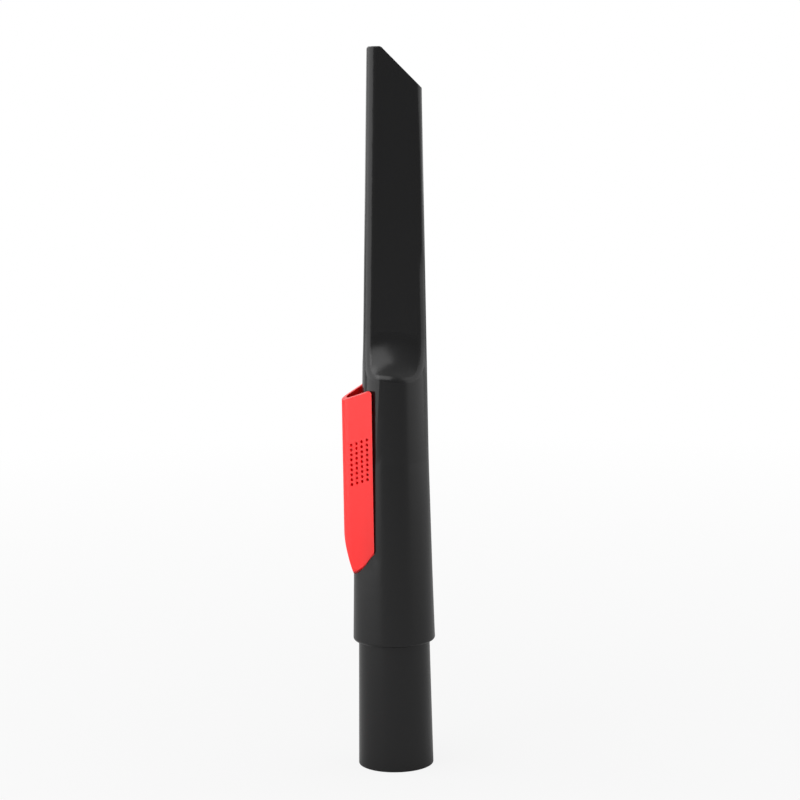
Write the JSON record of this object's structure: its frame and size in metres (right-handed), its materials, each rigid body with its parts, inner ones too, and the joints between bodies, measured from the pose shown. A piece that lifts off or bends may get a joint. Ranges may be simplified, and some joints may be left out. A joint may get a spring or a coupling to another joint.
{
  "type": "vacuum crevice tool",
  "caption": "Long flattened crevice nozzle with a slanted mouth, a round collar on a tapered hose cuff, and a perforated clip-on cover over its side bleed slot.",
  "frame": {"origin": "centre of the cuff's mouth, in the plane of its rim", "axes": "+Z along the tool from the hose end to the tip, the hood on the -X side, the flat faces of the blade towards -Y and +Y"},
  "size_m": [0.0418, 0.0384, 0.336],
  "materials": {
    "nozzle_plastic": "fine satin moulded surface",
    "cuff_plastic": "satin moulded surface",
    "hood_plastic": "smooth red moulded surface"
  },
  "bodies": {
    "root": {"nozzle_body": "nozzle_plastic", "hose_cuff": "cuff_plastic", "bleed_hood": "hood_plastic"}
  },
  "joints": []
}
